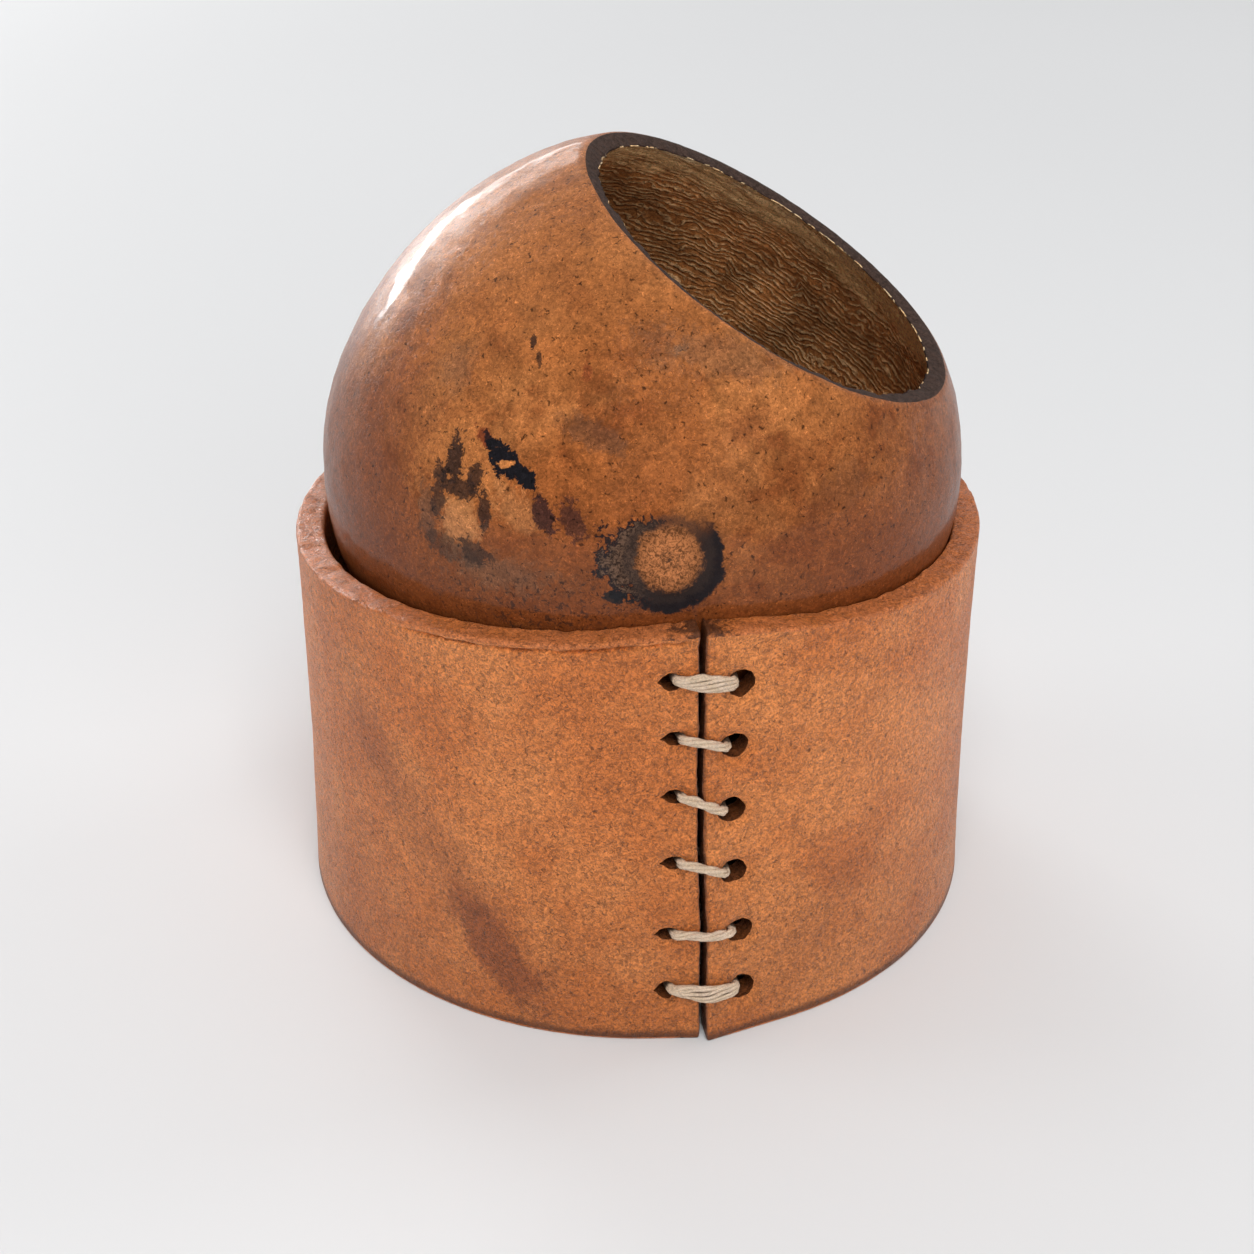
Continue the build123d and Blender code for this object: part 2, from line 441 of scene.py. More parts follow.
def skin_reach(settings, up):
    """Millimetres from the gourd's centre to its skin; up is the cosine of the angle from the top."""
    angle = np.arccos(np.clip(up, -1, 1))
    swell = -settings.flattening * np.cos(2 * angle)
    swell = swell + settings.top_heavy * np.cos(3 * angle)
    swell = swell + settings.fullness * np.cos(4 * angle)
    return settings.radius / MM * (1 + swell)


def gourd_centre(settings):
    middle = (GOURD_LOW + GOURD_HIGH) / 2
    bottom = float(skin_reach(settings, -1.0))
    return Vector((middle.x, middle.y, GOURD_LOW.z + bottom * MM))


def mouth_axes(settings):
    """The mouth's own axes: two in its plane and its outward normal."""
    turn = Matrix.Rotation(settings.mouth_toward, 3, "Z")
    return np.array(turn @ Matrix.Rotation(settings.mouth_tilt, 3, "Y"))


def chart_of(points):
    """Turn and height in degrees of points round the gourd's centre."""
    turn = np.degrees(np.arctan2(points[..., 0], -points[..., 1]))
    height = np.degrees(np.arctan2(points[..., 2], np.hypot(points[..., 0], points[..., 1])))
    return turn, height


def scar_relief(points):
    """How far the round scar stands out in millimetres: a raised disc in a worn hollow."""
    turn, height = chart_of(points)
    from_scar = np.hypot(turn - SCAR_TURN, height - SCAR_HEIGHT) / SCAR_REACH
    disc = 0.16 * (1 - smooth_step(from_scar, 0.85, 1.1))
    hollow = -0.22 * np.exp(-(((from_scar - 1.3) / 0.28) ** 2))
    dimple = -0.18 * np.exp(-((from_scar / 0.14) ** 2))
    return disc + hollow + dimple


def skin_relief(points):
    """The unevenness of the skin in millimetres."""
    swell = 0.16 * noise_at(points, 19, 1, 2)
    ripple = 0.06 * noise_at(points, 3.2, 2, 3)
    return swell + ripple + scar_relief(points)


def inside_relief(points, axes):
    """The unevenness of the inside in millimetres: dry tissue in ridges round the mouth's axis."""
    local = points @ axes
    stretched = local * np.array([0.45, 0.45, 1.6])
    return 0.22 * noise_at(points, 9, 3, 2) + 0.2 * noise_at(stretched, 1.5, 4, 3)


def gourd_rows(settings):
    """Rows round the mouth's axis: the skin from the far pole, the lip, then the inside."""
    columns, skin_rows, lip_rows, inside_rows = 320, 140, 10, 150
    axes = mouth_axes(settings)
    up = axes[:, 2]
    shell = settings.shell / MM
    around = np.linspace(0, 2 * math.pi, columns, endpoint=False)
    side = np.cos(around)[:, None] * axes[:, 0] + np.sin(around)[:, None] * axes[:, 1]

    def place(angle, less):
        way = np.cos(angle)[:, None] * up + np.sin(angle)[:, None] * side
        return way * (skin_reach(settings, way[:, 2]) - less)[:, None]

    level = settings.mouth_share * float(skin_reach(settings, math.cos(settings.mouth_tilt)))
    edge = np.full(columns, 0.6)
    for _ in range(20):
        way = np.cos(edge)[:, None] * up + np.sin(edge)[:, None] * side
        edge = np.arccos(level / skin_reach(settings, way[:, 2]))
    # the saw ran a little unevenly
    edge = edge + 0.0022 * noise_at(place(edge, 0), 2.6, 5, 2) + 0.004 * noise_at(side, 0.9, 6, 1)
    rim = place(edge, 0)
    rim_up = rim @ up
    rim_out = np.linalg.norm(rim - rim_up[:, None] * up, axis=1)
    # the face of the cut falls inwards, more steeply on the side towards the seam
    near = np.clip(side @ np.array([-0.35, -0.9, -0.25]), 0, 1)
    fall = np.tan(np.radians(10 + 12 * near))
    low, high = edge.copy(), edge - 0.35
    for _ in range(30):
        guess = (low + high) / 2
        point = place(guess, shell)
        point_up = point @ up
        point_out = np.linalg.norm(point - point_up[:, None] * up, axis=1)
        above = point_up > rim_up - (rim_out - point_out) * fall
        high = np.where(above, guess, high)
        low = np.where(above, low, guess)
    inner_edge = (low + high) / 2
    inner_edge = inner_edge + 0.010 * noise_at(side, 0.08, 7, 3)
    inner_rim = place(inner_edge, shell)

    rows = [place(np.full(columns, math.pi), 0)[:1]]
    for step in range(1, skin_rows):
        share = (step / skin_rows) ** 0.88
        skin = place(math.pi + (edge - math.pi) * share, 0)
        outward = skin / np.linalg.norm(skin, axis=1)[:, None]
        fade = smooth_step(1 - share, 0, 0.03)
        rows.append(skin + outward * (skin_relief(skin) * fade)[:, None])
    for step in range(lip_rows + 1):
        share = step / lip_rows
        lip = rim + (inner_rim - rim) * share
        middle = 1 - abs(2 * share - 1) ** 3
        worn = -0.16 * (1 - middle) + 0.07 * noise_at(lip, 0.9, 8, 3) * (0.3 + middle)
        rows.append(lip + up * worn[:, None])
    for step in range(1, inside_rows):
        share = (step / inside_rows) ** 1.25
        wall = place(inner_edge + (math.pi - inner_edge) * share, shell)
        outward = wall / np.linalg.norm(wall, axis=1)[:, None]
        fade = smooth_step(share, 0, 0.012)
        rows.append(wall + outward * (inside_relief(wall, axes) * fade)[:, None])
    rows.append(place(np.full(columns, math.pi), shell)[:1])
    return rows, skin_rows, lip_rows


def stain_colours(settings):
    return {
        "black": settings.stain,
        "umber": (0.032, 0.015, 0.010),
        "purple": (0.038, 0.014, 0.012),
        "brown": (0.115, 0.048, 0.024),
        "grey": (0.150, 0.078, 0.044),
        "red": (0.170, 0.036, 0.012),
        "orange": (0.45, 0.16, 0.045),
        "tan": (0.46, 0.195, 0.072),
    }


def scar_colours(tree, chart, colour, torn, grain, settings):
    """Paints the round scar: a tan disc in a grey and black ring that is heaviest low right."""
    away = vectors(tree, "SUBTRACT", chart, (SCAR_TURN, SCAR_HEIGHT, 0.0))
    x, y, _ = feed(tree, add(tree, "ShaderNodeSeparateXYZ"), Vector=away).outputs
    distance = line(tree, torn, -1.1, vectors(tree, "LENGTH", away))
    low_right = line(tree, x, 0.75, times(tree, y, -0.66))
    crescent = shared(
        tree,
        "Ragged spot",
        Chart=chart,
        Centre=(SCAR_TURN - 4.7, SCAR_HEIGHT + 0.1, 0.0),
        Reach=(6.6, 6.4, 1.0),
        Rag=times(tree, torn, 0.6),
        Softness=0.08,
    )
    grey = shade(tree, (0.060, 0.034, 0.022), ramp(tree, grain["Grain"], 0.35, 0.68, 0.25, 2.4))
    edge = ramp(tree, crescent["Depth"], 0.12, 0.26)
    inside = blend(tree, edge, settings.stain, grey)
    colour = blend(tree, times(tree, crescent["Mask"], 0.97), colour, inside)
    ring = times(
        tree,
        ramp(tree, distance, SCAR_REACH + 3.2, SCAR_REACH + 3.9, 1.0, 0.0),
        ramp(tree, low_right, -2.5, 3.5, 0.0, 1.0),
    )
    colour = blend(tree, times(tree, ring, 0.98), colour, settings.stain)
    halo = ramp(tree, distance, SCAR_REACH + 1.2, SCAR_REACH + 2.6, 0.6, 0.0)
    colour = blend(tree, halo, colour, (0.035, 0.022, 0.018))
    disc = ramp(tree, distance, SCAR_REACH - 0.7, SCAR_REACH + 0.5, 1.0, 0.0)
    tan = shade(tree, (0.31, 0.112, 0.040), ramp(tree, grain["Grain"], 0.36, 0.62, 0.38, 1.45))
    tan = shade(tree, tan, ramp(tree, distance, 2.2, 5.4, 1.12, 0.70))
    from_ring = maths(tree, "ABSOLUTE", maths(tree, "SUBTRACT", distance, 1.35))
    mark = ramp(tree, from_ring, 0.1, 0.3, 0.35, 0.0)
    dot = ramp(tree, distance, 0.35, 0.8, 0.9, 0.0)
    tan = blend(tree, maths(tree, "MAXIMUM", mark, dot), tan, (0.045, 0.022, 0.013))
    return blend(tree, disc, colour, tan)


def skin_material(settings):
    """Varnished orange-brown skin with curly fibres, mottling, stains and the round scar, with painted
    light on its top and painted shade on its lower half and flanks.
    """
    material, tree, shader = new_material("Varnished gourd skin")
    place = millimetres(tree, gourd_centre(settings))
    chart, turn, height = round_chart(tree, place, True)
    grain = shared(tree, "Curly grain", Place=place, Size=0.46)
    coarse = shared(tree, "Curly grain", Place=place, Size=0.9)
    broad = cloud(tree, place, 19.0, 3.0, 0.55, 0.5)
    patch = cloud(tree, place, 6.0, 4.0, 0.62, 0.5)
    torn = maths(tree, "ADD", cloud(tree, place, 2.4, 4.0, 0.7), cloud(tree, place, 0.8, 3.0, 0.7, 0.8))
    torn = line(tree, torn, 2.2, -2.2)

    colour = blend(tree, ramp(tree, broad, 0.4, 0.62), settings.skin, settings.skin_pale_and_lit)
    colour = blend(tree, ramp(tree, patch, 0.48, 0.68, 0.0, 0.7), colour, settings.skin_dark_and_shade)
    mottle = cloud(tree, place, 3.2, 4.0, 0.65, 0.8)
    colour = shade(tree, colour, ramp(tree, mottle, 0.34, 0.66, 0.80, 1.22))
    # painted light: the skin is blended paler towards the top, as if lit from above
    high = ramp(tree, height, 25.0, 62.0, 0.0, 0.55)
    colour = blend(tree, high, colour, settings.skin_pale_and_lit)
    # painted shade: the skin is blended darker and redder from the middle down, as shade under light from
    # above
    low = ramp(tree, height, 30.0, -8.0, 0.0, 0.85)
    colour = blend(tree, low, colour, settings.skin_dark_and_shade)
    # painted shade: both flanks are blended darker and redder, up to a height, where the gourd turns away
    # from the lamps
    for near, far, top, full, strength in ((8.0, 50.0, 48.0, 20.0, 0.55), (-34.0, -70.0, 42.0, 18.0, 0.6)):
        painted_flank_shade = times(tree, ramp(tree, turn, near, far), ramp(tree, height, top, full, 0.0, strength))
        colour = blend(tree, painted_flank_shade, colour, settings.skin_dark_and_shade)
    colours = stain_colours(settings)
    colour = paint_spots(tree, chart, colour, torn, SKIN_STAINS, colours)
    colour = grained(
        tree, colour, grain, coarse, (0.33, 0.67, 0.74, 1.27), (0.86, 1.13), 0.85, -0.72
    )
    # crumbly dark specks over the lower left, by the leather
    zone = shared(
        tree,
        "Ragged spot",
        Chart=chart,
        Centre=(-27.0, -3.5, 0.0),
        Reach=(17.0, 6.5, 1.0),
        Rag=torn,
        Softness=0.5,
    )
    crumbs = times(tree, zone["Mask"], ramp(tree, coarse["Grain"], 0.5, 0.62, 0.0, 0.8))
    colour = blend(tree, crumbs, colour, colours["umber"])
    colour = scar_colours(tree, chart, colour, torn, grain, settings)
    # the varnish has worn off the scar
    from_scar = vectors(tree, "DISTANCE", chart, (SCAR_TURN, SCAR_HEIGHT, 0.0))
    feed(
        tree,
        shader,
        Base_Color=colour,
        Roughness=ramp(tree, patch, 0.35, 0.7, 0.34, 0.46),
        Specular_IOR_Level=0.07,
        Coat_Weight=ramp(tree, from_scar, SCAR_REACH + 2.0, SCAR_REACH + 5.5, 0.04, 0.29),
        Coat_Roughness=0.14,
        Normal=bump(tree, grain["Height"], 0.035, bump(tree, coarse["Height"], 0.05)),
    )
    return material


def lip_material(settings):
    """The cut face of the shell, scorched black-brown and matt."""
    material, tree, shader = new_material("Scorched lip")
    place = millimetres(tree, gourd_centre(settings))
    grain = shared(tree, "Curly grain", Place=place, Size=0.45)
    colour = shade(tree, settings.lip, ramp(tree, grain["Grain"], 0.35, 0.68, 0.6, 1.6))
    colour = blend(tree, times(tree, grain["Fibres"], 0.4), colour, (0.12, 0.07, 0.045))
    feed(
        tree,
        shader,
        Base_Color=colour,
        Roughness=ramp(tree, grain["Grain"], 0.3, 0.7, 0.68, 0.9),
        Specular_IOR_Level=0.12,
        Normal=bump(tree, grain["Height"], 0.12),
    )
    return material


def inside_material(settings):
    """Bare dry inside: pale curly ridges on brown, smoother and paler under the lip, with painted shade
    deeper down.
    """
    material, tree, shader = new_material("Fibrous gourd inside")
    axes = mouth_axes(settings)
    place = millimetres(tree, gourd_centre(settings))
    up = vectors(tree, "DOT_PRODUCT", place, tuple(axes[:, 2]))
    # the dry fibres run in wavy lines, nearly level with the mouth
    across = vectors(tree, "DOT_PRODUCT", place, tuple(Vector(FIBRE_LEVEL).normalized()))
    wide_wave = cloud(tree, place, 7.0, 2.0, 0.5, 0.4)
    small_wave = cloud(tree, place, 1.7, 3.0, 0.6, 0.4)
    wave = line(tree, wide_wave, 5.0, across)
    wave = line(tree, small_wave, 1.5, wave)
    crest = maths(tree, "SINE", times(tree, wave, 2 * math.pi / FIBRE_SPACING))
    drawn = vectors(tree, "ADD", place, scaled(tree, tuple(2.0 * axes[:, 2]), up))
    unbroken = ramp(tree, cloud(tree, drawn, 2.6, 3.0, 0.6, 0.6), 0.36, 0.58, 0.3, 1.0)
    ridges = times(tree, ramp(tree, crest, -0.6, 0.85), unbroken)
    fine = shared(tree, "Curly grain", Place=place, Size=0.5)
    pale = ramp(tree, ridges, 0.1, 1.0, 0.0, 0.75)
    colour = blend(tree, pale, settings.inside, settings.inside_fibre)
    broad = cloud(tree, place, 9.0, 3.0)
    colour = shade(tree, colour, ramp(tree, broad, 0.35, 0.65, 0.65, 1.25))
    # painted shade: the inside is darkened deeper down from the mouth, where less light reaches
    painted_depth_shade = ramp(tree, up, settings.radius / MM * 0.1, settings.radius / MM * 0.6, 0.74, 1.08)
    colour = shade(tree, colour, painted_depth_shade)
    level = settings.mouth_share * settings.radius / MM
    # smoother, paler tissue under the lip, crumbling to orange in places, with a torn fringe
    torn = line(tree, cloud(tree, place, 5.0, 4.0, 0.65), 9.0, -4.5)
    torn_up = maths(tree, "ADD", up, torn)
    under_lip = ramp(tree, torn_up, level - 7.0, level - 3.5, 0.0, 0.85)
    colour = blend(tree, under_lip, colour, (1.0, 0.64, 0.30))
    crumbs = ramp(tree, cloud(tree, place, 2.2, 4.0, 0.7), 0.50, 0.62, 0.0, 0.85)
    crumbs = times(tree, crumbs, ramp(tree, torn_up, level - 3.0, level + 0.5))
    colour = blend(tree, crumbs, colour, (0.55, 0.22, 0.065))
    fringe = ramp(tree, torn_up, level - 2.6, level - 0.2, 0.0, 0.7)
    fringe = times(tree, fringe, ramp(tree, small_wave, 0.35, 0.6, 0.3, 1.0))
    fringe = times(tree, fringe, ramp(tree, up, level - 3.4, level - 1.6))
    colour = blend(tree, fringe, colour, (0.90, 0.72, 0.46))
    colour = shade(tree, colour, ramp(tree, fine["Grain"], 0.33, 0.67, 0.6, 1.4))
    smoother = times(tree, ridges, maths(tree, "SUBTRACT", 1.0, under_lip))
    height = line(tree, fine["Height"], 0.4, smoother)
    feed(
        tree,
        shader,
        Base_Color=colour,
        Roughness=ramp(tree, ridges, 0.0, 1.0, 0.85, 0.62),
        Specular_IOR_Level=0.3,
        Normal=bump(tree, height, 0.32),
    )
    return material


def make_gourd(settings):
    rows, skin_rows, lip_rows = gourd_rows(settings)
    faces, bands = rows_to_faces(rows)
    points = np.vstack(rows) * MM + np.array(gourd_centre(settings))
    slots = [0 if band < skin_rows else 1 if band < skin_rows + lip_rows else 2 for band in bands]
    materials = [skin_material(settings), lip_material(settings), inside_material(settings)]
    return new_piece("gourd_shell", points, faces, materials, slots)


# ---------------------------------------------------------------- leather ring

RIM_RADIUS = FOOT_RADIUS - 0.75
WAIST = 0.35
RING_WALL = 3.2
# the seam leans left: millimetres at its foot and top, and the heights between which it bends
SEAM_LEAN, SEAM_BEND = np.array([0.10, 0.65]), (12.0, 32.0)
MEAN_HEIGHT = 46.9
# degrees from the seam at which the left and right ends of the band leave the circle
FOOT_ENDS = (9.0, 14.0)
RIM_ENDS = (5.6, 5.2)

# Lacing: distance left and right of the seam, share of the height left and right,
# height of the thread, all but the shares in millimetres
LACING = (
    (3.9, 3.5, 0.955, 0.936, 2.0),
    (3.6, 3.1, 0.812, 0.780, 1.16),
    (3.6, 2.9, 0.663, 0.615, 1.16),
    (3.6, 3.3, 0.488, 0.450, 1.16),
    (4.2, 4.1, 0.294, 0.284, 1.16),
    (4.2, 4.4, 0.136, 0.123, 2.2),
)


# A stitch taller than this is a flat sheaf of several strands
SHEAF_HEIGHT = 1.5


def rim_height(turn):
    """Height of the rim in millimetres, by the angle from the seam towards +X."""
    slope = 0.8 * np.cos(turn - math.radians(20))
    dip = 1.05 * np.cos(2 * (turn + math.radians(8.6)))
    from_seam = 2 * RIM_RADIUS * np.sin(turn / 2)
    return MEAN_HEIGHT + slope + dip + 1.55 * np.exp(-((from_seam / 14) ** 2))


def wall_radius(height):
    share = height / MEAN_HEIGHT
    return FOOT_RADIUS + (RIM_RADIUS - FOOT_RADIUS) * share - 4 * WAIST * share * (1 - share)


def end_angle(height, side):
    share = height / MEAN_HEIGHT
    return np.radians(FOOT_ENDS[side] + (RIM_ENDS[side] - FOOT_ENDS[side]) * share)


def wall_front(distance, height, side, depth=0.0):
    """Y of the straight end of the wall from the ring's axis, in millimetres."""
    angle = end_angle(height, side)
    return -(wall_radius(height) - depth - distance * np.sin(angle)) / np.cos(angle)


def band_point(turn, height, depth):
    """Points of the band in millimetres from the ring's axis: round, with straight laced ends."""
    end = np.where(turn > 0, end_angle(height, 1), end_angle(height, 0))
    reach = (wall_radius(height) - depth) / np.cos(np.maximum(end - np.abs(turn), 0))
    return np.stack([reach * np.sin(turn), -reach * np.cos(turn), height], -1)


def band_profile(thick):
    """One closed section: share of the height, drop from that height, depth, kind of face."""
    top, foot, outer_rows, inner_rows, across = 0.42, 0.3, 104, 52, 8
    corner = [math.radians(angle) for angle in (22.5, 45, 67.5)]
    section = []
    for row in range(outer_rows + 1):
        share = 1 - (1 - row / outer_rows) ** 1.4
        section.append((share, foot * (1 - share) - top * share, 0.0, 0))
    for angle in corner:
        section.append((1.0, top * (math.sin(angle) - 1), top * (1 - math.cos(angle)), 1))
    for row in range(across + 1):
        section.append((1.0, 0.0, top + (thick - 2 * top) * row / across, 1))
    for angle in reversed(corner):
        section.append((1.0, top * (math.sin(angle) - 1), thick - top * (1 - math.cos(angle)), 1))
    for row in range(inner_rows + 1):
        share = 1 - row / inner_rows
        section.append((share, foot * (1 - share) - top * share, thick, 2))
    for angle in corner:
        section.append((0.0, foot * (1 - math.sin(angle)), thick - foot * (1 - math.cos(angle)), 1))
    for row in range(across + 1):
        section.append((0.0, 0.0, thick - foot - (thick - 2 * foot) * row / across, 1))
    for angle in reversed(corner):
        section.append((0.0, foot * (1 - math.sin(angle)), foot * (1 - math.cos(angle)), 1))
    return [np.array(column) for column in zip(*section)]


def band_steps(length):
    """Distances from one end of the band, close together near the lacing."""
    steps, place = [0.0], 0.0
    while place < length / 2:
        place += 0.09 + 0.14 * min(place, 1.0) + 0.55 * float(smooth_step(place, 7, 20))
        steps.append(place)
    half = np.array(steps) * (length / 2 / steps[-1])
    return np.concatenate([half, length - half[-2::-1]]) / length


def hole_list():
    """Holes of the lacing: x, height, half width, half height and side (0 left, 1 right)."""
    holes = []
    for left, right, left_share, right_share, tall in LACING:
        thick = tall > SHEAF_HEIGHT
        slit = (1.0, 1.1) if thick else (1.15, 0.84)
        punched = (1.4, 1.55) if thick else (1.5, 1.42)
        inward = (0.2, 0.0) if thick else (0.35, 0.15)
        holes.append((inward[0] - left, left_share * MEAN_HEIGHT, *slit, 0))
        holes.append((right - inward[1], right_share * MEAN_HEIGHT, *punched, 1))
    return holes


def press_at_holes(points):
    """How far the leather is pressed in round the holes and under the threads, in millimetres."""
    pressed = np.zeros(points.shape[:-1])
    for x, height, wide, tall, side in hole_list():
        across = (points[..., 0] - x) / wide
        along = (points[..., 2] - height) / tall
        beyond = np.maximum(np.hypot(across, along) - 1, 0) * wide
        strength = (0.34, 0.46)[side]
        pressed = np.maximum(pressed, strength * np.exp(-((beyond / 0.55) ** 2)))
    return pressed * (points[..., 1] < 0)


def leather_relief(points):
    """The unevenness of the leather's faces in millimetres."""
    swell = 0.10 * noise_at(points, 16, 11, 2)
    pebbles = 0.030 * noise_at(points, 1.3, 12, 2)
    return swell + pebbles


def clear_of_gourd(points, gourd):
    """Moves points outwards from the ring's axis until they are clear of the gourd."""
    centre = (np.array(gourd_centre(gourd)) - np.array(RING_CENTRE)) / MM
    out = points * np.array([1, 1, 0])
    out = out / np.linalg.norm(out, axis=-1)[..., None]
    for _ in range(12):
        away = points - centre
        distance = np.linalg.norm(away, axis=-1)
        reach = skin_reach(gourd, away[..., 2] / distance) + 0.22
        points = points + out * np.maximum(reach - distance, 0)[..., None]
    return points


def ring_mesh(settings, gourd):
    """The band as one closed mesh, without its holes."""
    thick = settings.thickness / MM
    share, drop, depth, kind = band_profile(thick)
    along = band_steps(2 * math.pi * RIM_RADIUS)
    section, columns = len(share), len(along)
    height = MEAN_HEIGHT * share + drop
    # the two ends run a little wavy
    spine = np.stack([np.zeros(section), np.zeros(section), height], -1)
    lean = -SEAM_LEAN[0] - (SEAM_LEAN[1] - SEAM_LEAN[0]) * smooth_step(height, *SEAM_BEND)
    wander = lean + 0.16 * noise_at(spine, 3.4, 13, 2)
    gap = settings.seam_gap / 2 / MM
    right = gap + wander + 0.10 * noise_at(spine, 2.4, 14, 2)
    left = gap - wander + 0.10 * noise_at(spine, 2.0, 15, 2)
    right, left = right / RIM_RADIUS, left / RIM_RADIUS
    turn = right[:, None] + (2 * math.pi - right - left)[:, None] * along[None, :]
    turn = np.where(turn > math.pi, turn - 2 * math.pi, turn)
    from_end = np.minimum(along, 1 - along) * 2 * math.pi * RIM_RADIUS
    corner = 0.3
    inset = corner - np.sqrt(corner**2 - np.maximum(corner - from_end, 0) ** 2)
    depth = inset + depth[:, None] * (thick - 2 * inset) / thick
    around = np.stack([np.sin(turn), np.cos(turn), 0 * turn], -1)
    tall = rim_height(turn) + 0.16 * noise_at(around, 0.05, 16, 3)
    # the left end's top corner is lifted by wear
    from_left = np.where(turn <= 0, np.abs(turn) * RIM_RADIUS, 99)
    lifted = np.exp(-((from_left / 2.6) ** 2))
    tall = tall + 0.35 * lifted
    height = share[:, None] * tall + drop[:, None]
    height = inset + height * (tall - 2 * inset) / tall
    points = band_point(turn, height, depth)
    # a sliver of grain has parted from the rim left of the seam
    degrees = np.degrees(turn)
    parted = smooth_step(degrees, -52, -40) * (1 - smooth_step(degrees, -4, -1.5))
    below = tall - height
    sliver = -0.5 * parted * np.exp(-(((below - 0.85) / 0.17) ** 2)) * (1 + noise_at(points, 4, 17, 2))
    out = points * np.array([1, 1, 0])
    out = out / np.linalg.norm(out, axis=-1)[..., None]
    face = np.where(kind == 0, 1.0, np.where(kind == 2, -1.0, 0.0))[:, None]
    relief = leather_relief(points) * np.abs(face)
    relief = relief + (sliver - press_at_holes(points)) * (face > 0)
    relief = relief + (0.22 * lifted * smooth_step(share, 0.94, 1)[:, None]) * (face > 0)
    fade = smooth_step(from_end, 0.0, 0.6)
    points = points + out * (relief * face * fade)[..., None]
    flat = (kind == 1)[:, None] & (share > 0.5)[:, None]
    rough = 0.09 * noise_at(points, 1.5, 18, 3) * flat * fade
    points = points + rough[..., None] * np.array([0, 0, 1])
    inner = (depth > thick * 0.45)[..., None]
    points = np.where(inner, clear_of_gourd(points, gourd), points)

    faces, slots = [], []
    for row in range(section):
        after = (row + 1) % section
        for column in range(columns - 1):
            here, there = row * columns + column, after * columns + column
            faces.append((here, here + 1, there + 1, there))
            slots.append(int(kind[row]) if kind[row] == kind[after] else 1)
    flat_points = points.reshape(-1, 3)
    for column in (0, columns - 1):
        rim_loop = [row * columns + column for row in range(section)]
        faces += end_cap(rim_loop, kind, column == 0)
    slots += [1] * (len(faces) - len(slots))
    return flat_points, faces, slots


def end_cap(loop, kind, flipped):
    """Faces across one end of the band: strips between its outer and its inner side."""
    section = len(loop)
    outer = [row for row in range(section) if kind[row] == 0]
    inner = [row for row in range(section) if kind[row] == 2][::-1]
    faces = []
    ratio = (len(outer) - 1) // (len(inner) - 1)
    for step in range(len(inner) - 1):
        strip = outer[step * ratio : (step + 1) * ratio + 1]
        faces.append([*strip, inner[step + 1], inner[step]])
    faces.append(list(range(outer[-1], inner[-1] + 1)))
    faces.append([*range(inner[0], section), outer[0]])
    return [tuple(loop[row] for row in (face if flipped else face[::-1])) for face in faces]


def hole_cutters():
    """Closed prisms for the holes: slits with a small tear at the left, punched at the right."""
    points, faces = [], []
    corners, front, back = 36, -46.0, -32.0
    angles = np.linspace(0, 2 * math.pi, corners, endpoint=False)
    for number, (x, height, wide, tall, side) in enumerate(hole_list()):
        ring = np.stack([np.cos(angles), np.sin(angles), np.full(corners, number * 3.0)], -1)
        reach = 1 + 0.12 * noise_at(ring, 0.8, 21, 2)
        if side == 0:
            reach = reach + 0.42 * np.exp(-(((angles - math.pi) / 0.2) ** 2))
        start = len(points)
        for depth in (front, back):
            for corner, share in zip(ring, reach):
                across, along = corner[0] * wide * share, corner[1] * tall * share
                points.append((x + across, depth, height + along))
        for corner in range(corners):
            after = (corner + 1) % corners
            far = start + corners
            faces.append((start + corner, far + corner, far + after, start + after))
        faces.append(tuple(range(start, start + corners)))
        faces.append(tuple(range(start + 2 * corners - 1, start + corners - 1, -1)))
    return points, faces


def groove_cutters(thread):
    """Closed boxes for the grooves that sink the inner runs of the thread."""
    points, faces = [], []
    for row in LACING:
        left, right, low, high = row[0], row[1], row[2] * MEAN_HEIGHT, row[3] * MEAN_HEIGHT
        inner = inner_run(row, thread) - thread / 2 - 0.15
        half = row[4] / 2 + 0.15
        start = len(points)
        for y in (inner, inner + 6.0):
            points += [(-left, y, low - half), (right, y, high - half)]
            points += [(right, y, high + half), (-left, y, low + half)]
        for corners in ((0, 1, 2, 3), (7, 6, 5, 4), (0, 4, 5, 1), (1, 5, 6, 2), (2, 6, 7, 3), (3, 7, 4, 0)):
            faces.append(tuple(start + corner for corner in corners))
    return points, faces


def cut_away(piece, cutter):
    """Takes the cutter out of the piece for good, and deletes the cutter."""
    cut = piece.modifiers.new("cut", "BOOLEAN")
    cut.operation = "DIFFERENCE"
    cut.solver = "EXACT"
    cut.material_mode = "TRANSFER"
    cut.object = cutter
    bpy.context.view_layer.update()
    done = bpy.data.meshes.new_from_object(piece.evaluated_get(bpy.context.evaluated_depsgraph_get()))
    piece.modifiers.clear()
    old = piece.data
    piece.data = done
    bpy.data.meshes.remove(old)
    bpy.data.objects.remove(cutter)


# Rubbed, darkened places: turn in degrees and height in millimetres, half sizes, tilt in
# degrees, softness, strength and colour
LEATHER_SMEARS = (
    ((-43.0, 19.5), (24.0, 4.0), -37, 0.7, 0.45, "rubbed"),
    ((-33.5, 9.5), (10.5, 3.4), -42, 0.35, 0.9, "rubbed"),
    ((-57.0, 30.0), (6.5, 4.0), -60, 0.7, 0.35, "rubbed"),
    ((20.0, 12.0), (12.0, 5.0), 35, 0.8, 0.25, "rubbed"),
    ((120.0, 20.0), (25.0, 5.0), 30, 0.8, 0.4, "rubbed"),
    ((-130.0, 28.0), (20.0, 5.0), -20, 0.8, 0.4, "rubbed"),
)


